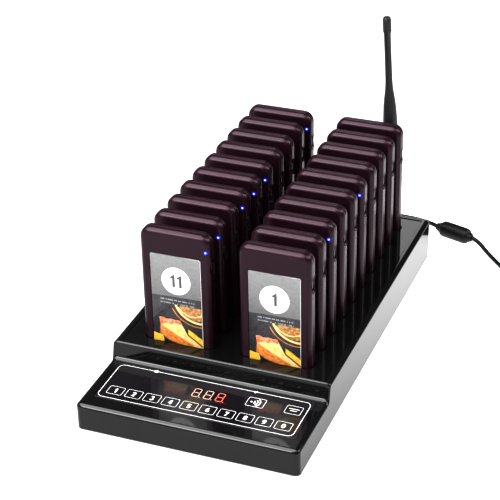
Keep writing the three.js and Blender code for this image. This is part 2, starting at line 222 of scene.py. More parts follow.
def moulded(name, colour, roughness, depth=0.02, variation=0.25, wear=0.06, **sockets):
    """Moulded plastic or rubber: fine grain, slow changes of colour, and uneven gloss."""
    material, graph = new_material(name, colour, roughness, **sockets)
    cloud = graph.spread(graph.noise(35.0, 3.0), 0, 1)
    graph.shade("Base Color", graph.mix(cloud, dimmed(colour, 1 - variation), dimmed(colour, 1 + variation)))
    smudge = graph.noise(60.0, 4.0, (1, 1, 0.4))
    graph.shade("Roughness", graph.spread(smudge, roughness - wear, roughness + wear))
    if depth:
        graph.shade("Normal", graph.bump(graph.noise(9000.0, 2.0), depth, 0.0002))
    return material


def gloss_black():
    """Polished black moulding with faint hairlines in its gloss."""
    material, graph = new_material("base_gloss_black", (0.0045, 0.0045, 0.005), 0.06, IOR=1.46)
    cloud = graph.spread(graph.noise(20.0, 3.0), 0, 1)
    graph.shade("Base Color", graph.mix(cloud, (0.0034, 0.0034, 0.0038), (0.006, 0.006, 0.0065)))
    smudge = graph.spread(graph.noise(28.0, 4.0), 0.03, 0.09)
    hairline = graph.spread(graph.noise(900.0, 2.0, (0.06, 1, 1)), 0.0, 0.03, 0.6, 0.8)
    graph.shade("Roughness", graph.math("ADD", smudge, hairline))
    return material


def printed(name, colour, roughness=0.35, glow=0.0):
    """Ink, slightly uneven; glow gives segments that light up."""
    material, graph = new_material(name, colour, roughness)
    mottled = graph.mix(graph.spread(graph.noise(1500.0), 0, 1), dimmed(colour, 0.82), colour)
    graph.shade("Base Color", mottled)
    if glow:
        graph.shade("Emission Color", mottled)
        graph.shade("Emission Strength", glow)
    return material


def brushed_metal(name, colour, roughness=0.3):
    material, graph = new_material(name, colour, roughness, Metallic=1.0)
    lines = graph.noise(700.0, 3.0, (1, 0.05, 1))
    graph.shade("Roughness", graph.spread(lines, roughness - 0.1, roughness + 0.12))
    graph.shade("Base Color", graph.mix(graph.spread(lines, 0, 1), dimmed(colour, 0.85), colour))
    return material


PLUM_COLOUR = (0.0135, 0.0036, 0.0074)
PLUM_SHEEN = {"Specular_IOR_Level": 0.35, "Specular_Tint": (1.0, 0.8, 0.9, 1.0)}


def led_glow(lit):
    """A small light window: bright in its middle and fading into the case round it."""
    material, graph = new_material("led_lit" if lit else "led_dark", PLUM_COLOUR, 0.31, **PLUM_SHEEN)
    away = graph.distance(graph.scaled((1, 0, 1)), (LED_X * MM, 0, LED_Z * MM))
    core = graph.spread(away, 1, 0, 0.0003, 0.001)
    if lit:
        halo = graph.math("POWER", graph.spread(away, 1, 0, 0.0006, 0.0025), 2.0)
        graph.shade("Emission Color", graph.mix(core, (0.012, 0.02, 0.9), (0.2, 0.32, 1.0)))
        graph.shade("Emission Strength", graph.math("ADD", graph.math("MULTIPLY", core, 3.2),
                                                    graph.math("MULTIPLY", halo, 1.1)))
    window = (0.1, 0.1, 0.13) if lit else (0.0115, 0.0036, 0.0068)
    graph.shade("Base Color", graph.mix(core, PLUM_COLOUR, window))
    return material


def label_print():
    """The card behind the label window: grey above, a white disc, an abstract warm pattern, and a painted
    highlight along its right and top edges.
    """
    material, graph = new_material("label_card", (0.4, 0.4, 0.4), 0.3, Coat_Weight=0.6, Coat_Roughness=0.05)
    split = graph.node("ShaderNodeSeparateXYZ", {0: graph.scaled(1 / MM)})
    across, up = split.outputs["X"], split.outputs["Z"]
    wobble = graph.spread(graph.noise(160.0, 3.0), -1.6, 1.6)

    def both(*masks):
        total = masks[0]
        for mask in masks[1:]:
            total = graph.math("MULTIPLY", total, mask)
        return total

    def side(a, b, c, soft=0.35, shake=0.0):
        """1 where a * across + b * up + c is above 0, with a soft edge."""
        total = graph.math("ADD", graph.math("ADD", both(across, a), both(up, b)), c)
        if shake:
            total = graph.math("ADD", total, both(wobble, shake))
        return graph.spread(total, 0, 1, -soft, soft)

    def ring(x, z, inner, outer, squash=1.0, soft=0.35):
        """1 between two radii about a point."""
        dx = graph.math("SUBTRACT", across, x)
        dz = both(graph.math("SUBTRACT", up, z), squash)
        radius = graph.math("SQRT", graph.math("ADD", both(dx, dx), both(dz, dz)))
        shape = graph.spread(radius, 1, 0, outer - soft, outer + soft)
        return both(shape, graph.spread(radius, 0, 1, inner - soft, inner + soft)) if inner else shape

    def wedge(grow):
        """A slice with a notch in its right edge, grown by some millimetres at its lower left."""
        edge = graph.math("MAXIMUM", side(-0.89, -0.454, 16.6), side(-0.579, -0.816, 22.7))
        return both(edge, side(0, -1, 33.4, shake=0.5), side(1, 0, 13 + grow * 0.3, shake=0.3),
                    side(0.581, 0.814, -10.4 + grow, shake=0.25), side(0.196, 0.98, -15.6 + grow))

    def stripes(at, scale, threshold):
        """Short strokes that stand for a line of print."""
        return both(side(0, 1, -at, 0.2), side(0, -1, at + 1, 0.2), side(1, 0, 12), side(-1, 0, 13),
                    graph.spread(graph.noise(scale, 1.0, (1, 1, 0)), 0, 1, threshold, threshold + 0.07))

    brushed = graph.spread(graph.noise(420.0, 4.0), 0, 1)
    grey = graph.mix(graph.spread(up, 0, 1, 52, 84),
                     graph.mix(brushed, (0.10, 0.10, 0.10), (0.125, 0.125, 0.125)),
                     graph.mix(brushed, (0.15, 0.15, 0.15), (0.18, 0.18, 0.18)))
    slate = graph.mix(brushed, (0.006, 0.007, 0.009), (0.035, 0.036, 0.04))
    warm = graph.spread(graph.noise(520.0, 4.0), 0, 1)
    cream = graph.mix(warm, (0.72, 0.44, 0.14), (0.86, 0.68, 0.34))
    yellow = graph.mix(warm, (0.66, 0.36, 0.025), (0.8, 0.6, 0.12))
    crust = graph.mix(warm, (0.45, 0.12, 0.02), (0.75, 0.34, 0.09))
    amber = graph.mix(warm, (0.13, 0.05, 0.015), (0.55, 0.3, 0.1))
    rose = graph.mix(warm, (0.62, 0.06, 0.03), (0.93, 0.4, 0.22))
    shade = (0.24, 0.245, 0.26)
    layers = [
        (both(ring(14, 47.5, 0, 12.4, 1.05), side(0, -1, 45.8)), amber),
        (both(ring(11, 49, 10.6, 11.4, 1.05), side(0, -1, 44.5)), cream),
        (both(ring(16, 51, 17.0, 18.6, 1.05), side(0, -1, 46)), cream),
        (both(ring(15, 50, 19.6, 20.2, 1.05), side(0, -1, 43)), crust),
        (wedge(0.8), crust),
        (both(wedge(0.0), side(0.476, 0.879, -18.9, shake=0.2)), cream),
        (both(wedge(0.6), side(-0.3, 1, -31.4, shake=1.2)), rose),
        (both(side(-0.579, -0.816, 27.6, shake=0.3), side(0.579, 0.816, -23.9), side(1, 0, -7.5)), yellow),
        (both(side(-1, 0, -11.6, shake=0.6), side(-0.2, -1, 17.6, shake=0.6)), yellow),
        (stripes(48.7, 1300.0, 0.42), shade),
        (stripes(46.1, 1500.0, 0.44), shade),
        # Painted highlight: a pale line down the card's right edge and a fainter one along its top edge,
        # strongest towards the right.
        (side(1, 0, -17.95, 0.06), (0.6, 0.6, 0.6)),
        (both(side(0, 1, -83.3, 0.06), side(1, 0, -8, 6)), (0.5, 0.5, 0.5)),
        (ring(0, DISC_Z, 0, 10.4, 1.0, 0.15), (0.86, 0.86, 0.85)),
    ]
    card = graph.mix(side(-0.03, 1, -52), slate, grey)
    for mask, colour in layers:
        card = graph.mix(mask, card, colour)
    graph.shade("Base Color", card)
    return material


def circuit_board():
    """Green solder mask with paler tracks."""
    material, graph = new_material("solder_mask", (0.01, 0.09, 0.04), 0.35)
    bricks = graph.node("ShaderNodeTexBrick", {
        "Scale": 1.0, "Mortar Size": 0.02, "Color1": (0.008, 0.07, 0.03, 1), "Color2": (0.012, 0.1, 0.045, 1),
        "Mortar": (0.05, 0.2, 0.08, 1), "Vector": graph.scaled(200.0)})
    graph.shade("Base Color", bricks.outputs["Color"])
    graph.shade("Normal", graph.bump(bricks.outputs["Fac"], 0.2, 0.0001))
    return material


GLOSS = gloss_black()
MATTE = moulded("tray_black", (0.014, 0.014, 0.015), 0.5, depth=0.15)
FILM = moulded("keypad_film", (0.008, 0.007, 0.009), 0.1, depth=0.0, wear=0.03, IOR=1.5)
DISPLAY_LENS = moulded("display_lens", (0.012, 0.005, 0.006), 0.08, depth=0.0, wear=0.02)
PLUM = moulded("pager_plum", PLUM_COLOUR, 0.31, depth=0.02, variation=0.1, wear=0.04, **PLUM_SHEEN)
KEY_PLUM = moulded("key_plum", (0.010, 0.006, 0.008), 0.5, depth=0.1)
LABEL = label_print()
NUMERAL = printed("numeral_grey", (0.085, 0.08, 0.085), 0.3)
INK = printed("white_ink", (0.86, 0.86, 0.84), 0.4)
SEGMENT_PALE = printed("segment_pale", (0.5, 0.36, 0.31), 0.4, glow=0.3)
SEGMENT_RED = printed("segment_red", (0.66, 0.14, 0.11), 0.4, glow=0.42)
LED_LIT = led_glow(True)
LED_DARK = led_glow(False)
GOLD = brushed_metal("contact_gold", (0.78, 0.55, 0.22), 0.28)
STEEL = brushed_metal("steel", (0.55, 0.56, 0.58), 0.3)
BOARD = circuit_board()
FOIL = brushed_metal("cell_foil", (0.6, 0.61, 0.62), 0.4)
RUBBER = moulded("antenna_rubber", (0.010, 0.010, 0.011), 0.45, depth=0.1, Specular_IOR_Level=0.42)
LEAD = moulded("lead_black", (0.0035, 0.0035, 0.004), 0.42, depth=0.08, Specular_IOR_Level=0.25)


# ------------------------------------------------------------- mesh building


def mesh_from(name, parts):
    """One mesh from several (vertices in millimetres, faces) pairs, with its faces pointing out."""
    shape = bmesh.new()
    for vertices, faces in parts:
        made = [shape.verts.new(Vector(v) * MM) for v in vertices]
        for face in faces:
            shape.faces.new([made[i] for i in face])
    bmesh.ops.recalc_face_normals(shape, faces=shape.faces)
    mesh = bpy.data.meshes.new(name)
    shape.to_mesh(mesh)
    shape.free()
    return mesh


def smooth(mesh, angle=32):
    """Smooth shading, with an edge left sharp where its faces meet at more than the angle."""
    mesh.shade_smooth()
    mesh.set_sharp_from_angle(angle=math.radians(angle))
    return mesh


def rounded(half_w, half_h, radius, steps=6, centre=(0, 0), right_stops=()):
    """Points anticlockwise round a rectangle with round corners. The right side has its own
    extra points at right_stops."""
    cu, cv = centre
    points = [(cu + half_w, stop) for stop in right_stops]
    corners = ((1, 1, 0), (-1, 1, 90), (-1, -1, 180), (1, -1, 270))
    for su, sv, start in corners:
        for k in range(steps + 1):
            angle = math.radians(start + 90 * k / steps)
            points.append((cu + su * (half_w - radius) + radius * math.cos(angle),
                           cv + sv * (half_h - radius) + radius * math.sin(angle)))
    return points


def loft(rings, caps=True, closed=False):
    """Skin through rings that have the same number of points."""
    count = len(rings[0])
    vertices = [point for ring in rings for point in ring]
    faces = []
    bands = len(rings) if closed else len(rings) - 1
    for band in range(bands):
        near, far = band * count, (band + 1) % len(rings) * count
        for i in range(count):
            j = (i + 1) % count
            faces.append((near + i, near + j, far + j, far + i))
    if caps and not closed:
        faces.append(tuple(reversed(range(count))))
        faces.append(tuple(range((len(rings) - 1) * count, len(rings) * count)))
    return vertices, faces


def flat_ring(outline, z):
    return [(u, v, z) for u, v in outline]


def slab(outline, low, high):
    """An upright block with any outline."""
    return loft([flat_ring(outline, low), flat_ring(outline, high)])


def band(outer, inner, low, high):
    """A closed strip between two outlines."""
    return loft([flat_ring(outer, low), flat_ring(outer, high),
                 flat_ring(inner, high), flat_ring(inner, low)], closed=True)


def circle(centre, radius, count):
    return [(centre[0] + radius * math.cos(2 * math.pi * k / count),
             centre[1] + radius * math.sin(2 * math.pi * k / count)) for k in range(count)]


def plate(half_w, half_h, radius, low, high, centre=(0, 0), edge=0.0, steps=6):
    """An upright slab with round corners and an optional small chamfer on its top edge."""
    levels = [(0, low), (0, high - edge), (edge, high)] if edge else [(0, low), (0, high)]
    return loft([flat_ring(rounded(half_w - inset, half_h - inset, max(radius - inset, 0.01),
                                   steps, centre), z) for inset, z in levels])


def line_frame(half_w, half_h, radius, line, low, high, centre=(0, 0)):
    """A thin printed line round a rectangle with round corners."""
    return band(rounded(half_w, half_h, radius, 6, centre),
                rounded(half_w - line, half_h - line, radius - line, 6, centre), low, high)


def turned(profile, segments=48):
    """A closed lathe shape about Z from (radius, height) pairs that start and end on the axis."""
    rings = [flat_ring(circle((0, 0), radius, segments), height) for radius, height in profile[1:-1]]
    vertices, faces = loft(rings, caps=False)
    vertices = list(vertices) + [(0, 0, profile[0][1]), (0, 0, profile[-1][1])]
    first, last, top = len(vertices) - 2, len(vertices) - 1, (len(rings) - 1) * segments
    for k in range(segments):
        after = (k + 1) % segments
        faces += [(first, after, k), (last, top + k, top + after)]
    return vertices, faces


def moved(part, matrix):
    """The same part with its vertices transformed, in millimetres."""
    vertices, faces = part
    return [tuple(matrix @ Vector(v)) for v in vertices], faces


def oval(cx, cy, rx, ry, start=0, end=360, steps=28):
    """Points along an ellipse, angles in degrees."""
    angles = [math.radians(start + (end - start) * k / steps) for k in range(steps + 1)]
    return [(cx + rx * math.cos(angle), cy + ry * math.sin(angle)) for angle in angles]


def fillet(centre, radius, start, end, steps):
    """Points of an arc, angles in degrees."""
    return oval(*centre, radius, radius, start, end, steps)


def as_mesh(shape, name="shape"):
    """A mesh as it is, or the mesh of a list of parts."""
    return mesh_from(name, shape) if isinstance(shape, list) else shape


def boolean(shape, other, operation):
    """Joins or cuts two closed shapes, each a mesh or a list of parts, and returns a mesh."""
    body = bpy.data.objects.new("boolean_body", as_mesh(shape))
    tool = bpy.data.objects.new("boolean_tool", as_mesh(other))
    for item in (body, tool):
        bpy.context.scene.collection.objects.link(item)
    modifier = body.modifiers.new("cut", "BOOLEAN")
    modifier.operation = operation
    modifier.solver = "MANIFOLD"
    modifier.object = tool
    graph = bpy.context.evaluated_depsgraph_get()
    result = bpy.data.meshes.new_from_object(body.evaluated_get(graph))
    for item in (body, tool):
        bpy.data.objects.remove(item)
    result.materials.clear()
    return result


def tidy_flats(mesh):
    """Joins faces that lie in one plane, so that flat areas shade flat."""
    shape = bmesh.new()
    shape.from_mesh(mesh)
    bmesh.ops.remove_doubles(shape, verts=shape.verts, dist=0.00001 * MM)
    bmesh.ops.dissolve_limit(shape, angle_limit=math.radians(0.3), verts=shape.verts, edges=shape.edges)
    shape.to_mesh(mesh)
    shape.free()
    return mesh


def stroke(path, weight, closed=False):
    """Outline of a pen stroke along a path: its left and right edges, point by point."""
    count = len(path)
    left, right = [], []
    for i, (x, y) in enumerate(path):
        before = path[i - 1] if i or closed else path[0]
        after = path[(i + 1) % count] if i < count - 1 or closed else path[-1]
        arriving = Vector((x - before[0], y - before[1]))
        leaving = Vector((after[0] - x, after[1] - y))
        arriving = arriving.normalized() if arriving.length else leaving.normalized()
        leaving = leaving.normalized() if leaving.length else arriving
        along = (arriving + leaving).normalized()
        reach = weight / 2 / max(along.dot(leaving), 0.5)
        left.append((x - along.y * reach, y + along.x * reach))
        right.append((x + along.y * reach, y - along.x * reach))
    return left, right


def digit_strokes(digit):
    """Pen paths of a digit on a grid 6 wide and 10 high; (path, closed)."""
    six = [(oval(3, 3.05, 2.05, 2.1)[:-1], True), (oval(4.9, 3.3, 3.95, 5.7, 88, 180, 14), False)]
    return {
        "0": [(oval(3, 5, 2.05, 4.1, steps=36)[:-1], True)],
        "2": [(oval(3, 6.95, 2.05, 2.1, 170, -38, 18) + [(1.35, 0.95), (5.3, 0.95)], False)],
        "3": [(oval(2.9, 7.25, 1.85, 1.85, 155, -88, 18), False),
              (oval(2.9, 2.95, 2.15, 2.05, 88, -155, 18), False)],
        "4": [([(4.15, 0), (4.15, 10)], False), ([(3.9, 9.3), (0.9, 3.1)], False),
              ([(0.2, 2.9), (5.8, 2.9)], False)],
        "5": [([(5.3, 9.05), (1.7, 9.05), (1.2, 4.9)], False),
              (oval(2.85, 3.2, 2.15, 2.25, 132, -150, 20), False)],
        "6": six,
        "7": [([(0.7, 9.05), (4.95, 9.05), (2.3, 0)], False)],
        "8": [(oval(3, 7.35, 1.7, 1.75)[:-1], True), (oval(3, 2.95, 2.05, 2.05)[:-1], True)],
        "9": [([(6 - x, 10 - y) for x, y in path], closed) for path, closed in six],
    }[digit]


def number_parts(text, height, thick, low=0.0, weight=1.75):
    """Digits as thin solids in the XY plane, centred, with the given height in millimetres."""
    scale = height / 10
    widths = [3.6 if digit == "1" else 6 for digit in text]
    gap = 1.5
    start = -(sum(widths) + gap * (len(text) - 1)) / 2
    parts = []
    for digit, width in zip(text, widths):
        left_edge = start
        start += width + gap

        def put(points, z, left_edge=left_edge):
            return [((left_edge + x) * scale, (y - 5) * scale, z) for x, y in points]

        if digit == "1":
            outline = [(1.5, 0), (3.6, 0), (3.6, 10), (2.1, 10), (1.5, 8.9), (0, 8.3), (0, 6.8), (1.5, 7)]
            parts.append(loft([put(outline, low), put(outline, low + thick)]))
            continue
        for path, closed in digit_strokes(digit):
            left, right = stroke(path, weight, closed)
            if closed:
                parts.append(loft([put(left, low), put(left, low + thick), put(right, low + thick),
                                   put(right, low)], closed=True))
                continue
            rings = [[put([a], low)[0], put([a], low + thick)[0], put([b], low + thick)[0], put([b], low)[0]]
                     for a, b in zip(left, right)]
            parts.append(loft(rings))
    return parts


def add(name, shape, material, at=(0, 0, 0), body="base", stands_for=(), angle=None, flats=False):
    """Puts a piece in place, at a point in millimetres, and lets it ride on its body.

    The shape is a mesh or the parts of one. It shades smooth up to the angle, if one is given."""
    mesh = as_mesh(shape, name)
    if angle:
        smooth(mesh, angle)
    if not mesh.materials:
        mesh.materials.append(material)
    piece = bpy.data.objects.new(name, mesh)
    bpy.context.scene.collection.objects.link(piece)
    piece.location = Vector(at) * MM
    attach(piece, body)
    if stands_for:
        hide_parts(*stands_for)
    if flats:
        weighted = piece.modifiers.new("flat_faces_stay_flat", "WEIGHTED_NORMAL")
        weighted.keep_sharp = True
    return piece


# ------------------------------------------------------------ camera and cord


def add_camera():
    """Seen from above the keypad, a little to the right, through a long lens."""
    yaw, pitch, roll = (math.radians(angle) for angle in (-21.86, 29.81, 1.24))
    forward = Vector((math.sin(yaw) * math.cos(pitch), math.cos(yaw) * math.cos(pitch), -math.sin(pitch)))
    right = Vector((math.cos(yaw), -math.sin(yaw), 0))
    down = forward.cross(right)
    turned_right = math.cos(roll) * right + math.sin(roll) * down
    turned_down = -math.sin(roll) * right + math.cos(roll) * down
    camera = bpy.data.cameras.new("camera")
    camera.sensor_width = 36
    camera.lens = 118.98
    camera.clip_end = 50
    holder = bpy.data.objects.new("camera", camera)
    axes = Matrix((turned_right, -turned_down, -forward)).transposed().to_4x4()
    holder.matrix_world = Matrix.Translation((0.3636, -0.9355, 0.6460)) @ axes
    bpy.context.scene.collection.objects.link(holder)
    bpy.context.scene.camera = holder


LEAD_R = 1.7
COIL_CENTRE = (178, 110)
COIL_R = 19
TURN_PITCH = 3.6
LAYER_PITCH = 3.5
LEAD_ROUTE = [
    (22, 173.1, 15), (22.3, 178, 14.4), (23.6, 183, 12.7), (26.4, 187.9, 10.1), (31, 192.4, 7.2),
    (37, 196.1, 4.6), (44, 198.5, 2.9), (51.5, 199.3, 2.2), (58.5, 197.8, 2.5), (64.6, 194.1, 3.8),
    (69.6, 189.6, 5.4), (73.8, 186.3, 6.3),
]
CORE_ROUTE = [(82, 183.3, 6.3), (90, 180.8, 6.3), (98, 178.3, 6.3)]
RUN_ROUTE = [
    (106.2, 175.7, 6.3), (111.5, 173.6, 4.7), (116.6, 169.8, 2.7), (121.4, 164.6, 1.8),
    (128.4, 156.4, 1.8), (135.6, 148.2, 1.8), (142.6, 139.6, 1.8), (148.2, 130.4, 1.8),
    (151.4, 121.4, 1.8),
]
TAIL_ROUTE = [
    (200.6, 116, 11.9), (201, 122, 10.4), (201.6, 132, 7.2), (203.4, 141.5, 4.4),
    (208, 149, 3.4), (215.2, 151.6, 3.6), (221.4, 147.6, 4.6), (224, 138.5, 5.4),
]


def coil_points():
    """Ten and a half turns in four layers of three, each layer wound back over the last.

    The lead changes to its next place in one sector of the circle. Inward and outward
    steps and the climbs have sectors of their own, so that no turn meets another."""
    inward, outward, inner_climb, outer_climb = (110, 165), (0, 50), (55, 105), (270, 330)
    lanes = [(r, z) for z in range(4) for r in ((2, 1, 0) if z % 2 == 0 else (0, 1, 2))]
    start, turns, per_turn = 180, 10.5, 24
    changes = []
    angle = start
    for before, after in zip(lanes, lanes[1:]):
        if before[1] != after[1]:
            sector = inner_climb if before[0] == 0 else outer_climb
        else:
            sector = inward if after[0] < before[0] else outward
        begin = angle + (sector[0] - angle) % 360
        changes.append((begin, begin + sector[1] - sector[0], before, after))
        angle = changes[-1][1]
    points = []
    for step in range(int(turns * per_turn) + 1):
        angle = start + 360 * step / per_turn
        lane = lanes[0]
        for begin, end, before, after in changes:
            if angle >= begin:
                share = min((angle - begin) / (end - begin), 1)
                share = share * share * (3 - 2 * share)
                lane = [a + (b - a) * share for a, b in zip(before, after)]
        radius = COIL_R + (lane[0] - 1) * TURN_PITCH
        points.append((COIL_CENTRE[0] + radius * math.cos(math.radians(angle)),
                       COIL_CENTRE[1] + radius * math.sin(math.radians(angle)),
                       LEAD_R + 0.1 + lane[1] * LAYER_PITCH))
    return points


def add_lead():
    """One lead from the plug through the ferrite core, round its coil and into the adapter."""
    curve = bpy.data.curves.new("power_lead", "CURVE")
    curve.dimensions = "3D"
    curve.bevel_depth = LEAD_R * MM
    curve.bevel_resolution = 5
    curve.resolution_u = 4
    curve.use_fill_caps = True
    route = LEAD_ROUTE + CORE_ROUTE + RUN_ROUTE + coil_points() + TAIL_ROUTE
    spline = curve.splines.new("BEZIER")
    spline.bezier_points.add(len(route) - 1)
    for i, (point, knot) in enumerate(zip(route, spline.bezier_points)):
        here = Vector(point)
        before = Vector(route[max(i - 1, 0)])
        after = Vector(route[min(i + 1, len(route) - 1)])
        heading = (after - before).normalized()
        knot.co = here * MM
        knot.handle_left = (here - heading * (here - before).length / 3) * MM
        knot.handle_right = (here + heading * (after - here).length / 3) * MM
    curve.materials.append(LEAD)
    lead = bpy.data.objects.new("power_lead", curve)
    bpy.context.scene.collection.objects.link(lead)
    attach(lead, "base")
    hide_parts("dc_lead", "dc_lead_run", "dc_lead_coil")
    return lead


# ------------------------------------------------------------- charging base


def crest_stations():
    """(distance from the front face, height) along the crest, from the nose to the rear."""
    nose = [(NOSE_R - NOSE_R * math.cos(a), KEY_DECK_TOP - NOSE_R + NOSE_R * math.sin(a))
            for a in (math.radians(9 * k) for k in range(11))]
    slope = math.atan2(RIM_TOP - KEY_DECK_TOP, RISER_HEAD - RISER_FOOT)
    lean = math.degrees(slope)
    foot_run = FOOT_FILLET * math.tan(slope / 2)
    head_run = HEAD_FILLET * math.tan(slope / 2)
    foot = fillet((RISER_FOOT - foot_run, KEY_DECK_TOP + FOOT_FILLET), FOOT_FILLET, -90, lean - 90, 8)
    head = fillet((RISER_HEAD + head_run, RIM_TOP - HEAD_FILLET), HEAD_FILLET, lean + 90, 90, 8)
    length = REAR - FRONT
    rear = [(length - SHOULDER_WIDE + SHOULDER_WIDE * math.sin(a),
             RIM_TOP - SHOULDER_DROP + SHOULDER_DROP * math.cos(a))
            for a in (math.radians(90 * k / 8) for k in range(9))]
    return nose + foot + head + rear


def cover_skin():
    """The cover's outside as a closed block, swept from the front to the rear."""
    length = REAR - FRONT
    rings = []
    for distance, crest in crest_stations():
        from_end = min(distance, length - distance)
        half = BASE_HALF
        if from_end < PLAN_CORNER:
            half -= PLAN_CORNER - math.sqrt(PLAN_CORNER ** 2 - (PLAN_CORNER - from_end) ** 2)
        shoulder = [(half - SHOULDER_WIDE + SHOULDER_WIDE * math.cos(a),
                     crest - SHOULDER_DROP + SHOULDER_DROP * math.sin(a))
                    for a in (math.radians(90 * k / 8) for k in range(9))]
        profile = [(half, SKIRT_Z)] + shoulder
        profile += [(-x, z) for x, z in reversed(profile)]
        rings.append([(x, FRONT + distance, z) for x, z in profile])
    return loft(rings)


def side_prism(outline, low, high):
    """A block with any outline in (y, z), from one x to another."""
    return loft([[(x, y, z) for y, z in outline] for x in (low, high)])


def flared_slot(half_w, half_h, radius, low, face, centre, flare=0.45):
    """A cutter for a slot whose mouth opens with a small round-over at the face."""
    steps = ((0.0, low), (0.0, face - flare), (0.12 * flare, face - 0.4 * flare),
             (0.4 * flare, face - 0.12 * flare), (flare, face), (flare, face + 3))
    return loft([flat_ring(rounded(half_w + grow, half_h + grow, radius + grow, 6, centre), z)
                 for grow, z in steps])


def add_cover():
    half = BASE_HALF - WALL
    cavity = [
        (FRONT + WALL, -1), (REAR - WALL, -1), (REAR - WALL, DECK_UNDER),
        (FRONT + RISER_HEAD + 3, DECK_UNDER), (FRONT + RISER_HEAD + 3, KEY_DECK_UNDER),
        (FRONT + WALL, KEY_DECK_UNDER),
    ]
    cover = boolean([cover_skin()], [side_prism(cavity, -half, half)], "DIFFERENCE")

    half_w = PAGER_SIZE.x / 2 + WELL_PLAY
    half_d = PAGER_SIZE.y / 2 + WELL_PLAY
    tubs = [plate(half_w + WELL_WALL, half_d + WELL_WALL, 4.6, WELL_FLOOR - WELL_FLOOR_T,
                  DECK_UNDER + 1, (home.x, home.y)) for home in HOMES.values()]
    knuckle_low, knuckle_high = node_box("antenna_knuckle")
    boss_r = (knuckle_high.x - knuckle_low.x) / 2
    boss_profile = [(0, DECK_UNDER + 0.5), (boss_r + 1.4, DECK_UNDER + 0.5), (boss_r + 1.4, DECK_TOP + 0.2),
                    (boss_r + 0.9, DECK_TOP + 0.7), (boss_r + 0.5, DECK_UNDER + 4.6),
                    (boss_r + 0.1, DECK_UNDER + 5), (0, DECK_UNDER + 5)]
    boss = moved(turned(boss_profile), Matrix.Translation((*middle(knuckle_low, knuckle_high), 0)))
    cover = boolean(cover, tubs, "UNION")

    sink = SHOULDER_WIDE + RIM_WIDE
    deck_mid = (FRONT + RISER_HEAD + 0.8 + RIM_WIDE + REAR - sink) / 2
    deck_half = (REAR - sink) - deck_mid
    deck = flared_slot(BASE_HALF - sink, deck_half, 1.6, DECK_TOP, RIM_TOP, (0, deck_mid), 0.3)
    panel = flared_slot((PANEL_HIGH.x - PANEL_LOW.x) / 2 + 0.3, (PANEL_HIGH.y - PANEL_LOW.y) / 2 + 0.3, 2.3,
                        PANEL_LOW.z - 0.1, KEY_DECK_TOP, middle(PANEL_LOW, PANEL_HIGH), 0.25)
    cover = boolean(cover, [deck, panel], "DIFFERENCE")
    cover = boolean(cover, [boss], "UNION")

    wells = [flared_slot(half_w, half_d, 4.3, WELL_FLOOR, DECK_TOP, (home.x, home.y))
             for home in HOMES.values()]
    window = plate((DISPLAY_HIGH.x - DISPLAY_LOW.x) / 2 + 0.5, (DISPLAY_HIGH.y - DISPLAY_LOW.y) / 2 + 0.5,
                   0.8, KEY_DECK_UNDER - 1, KEY_DECK_TOP - 0.5, middle(DISPLAY_LOW, DISPLAY_HIGH))
    jack = sum(node_box("dc_jack"), Vector()) / 2
    socket = moved(turned([(0, -6), (4.2, -6), (4.2, 1.6), (4.9, 2.4), (4.9, 6), (0, 6)]),
                   Matrix.Translation((jack.x, REAR - WALL, jack.z)) @ TO_REAR)
    cover = boolean(cover, wells + [window, socket], "DIFFERENCE")
    holes = [plate(*CONTACT_HOLE, 1.0, WELL_FLOOR - WELL_FLOOR_T - 1, WELL_FLOOR + 1, (home.x, home.y))
             for home in HOMES.values()]
    add("cover_moulding", tidy_flats(boolean(cover, holes, "DIFFERENCE")), GLOSS,
        stands_for=["top_cover"], angle=28, flats=True)


def add_tray():
    """Underside: a tray with four rubber feet and six screws."""
    high = node_box("base_tray")[1]
    tray = [plate(high.x, high.y, 3, TRAY_UNDER, TRAY_TOP, edge=0.4)]
    add("tray_moulding", tray, MATTE, stands_for=["base_tray"], angle=32)
    foot_profile = [(0, 0), (6.6, 0), (7.2, 0.25), (7.8, 1.15), (0, 1.15)]
    feet = [moved(turned(foot_profile, 32), Matrix.Translation((side * FOOT_X, end * FOOT_Y, 0)))
            for side in (-1, 1) for end in (-1, 1)]
    add("rubber_feet", feet, RUBBER, angle=32)
    screw_profile = [(0, 0.75), (0.9, 0.75), (1.1, 0.55), (2.4, 0.55), (2.8, 0.85), (2.8, 1.15), (0, 1.15)]
    screws = [moved(turned(screw_profile, 24), Matrix.Translation((side * SCREW_X, y, 0)))
              for side in (-1, 1) for y in SCREW_ROWS]
    add("tray_screws", screws, STEEL, angle=32)


def segment_digit(centre, z, height=9.0, width=4.6, line=0.62, gap=0.2):
    """The seven bars and the dot of one display digit. A bar is a thin hexagon with pointed ends."""
    cx, cy = centre
    half_w, half_h = width / 2, height / 4
    bars = [(0, y, width, False) for y in (-2 * half_h, 0, 2 * half_h)]
    bars += [(x, y, 2 * half_h, True) for x in (-half_w, half_w) for y in (-half_h, half_h)]
    outlines = []
    for x, y, length, upright in bars:
        half, tip = length / 2 - gap, line / 2
        outline = [(-half, 0), (-half + tip, -tip), (half - tip, -tip), (half, 0),
                   (half - tip, tip), (-half + tip, tip)]
        if upright:
            outline = [(-v, u) for u, v in outline]
        outlines.append([(cx + x + u, cy + y + v) for u, v in outline])
    outlines.append(circle((cx + half_w + 1.1, cy - 2 * half_h), 0.45, 8))
    return [slab(outline, z, z + 0.02) for outline in outlines]


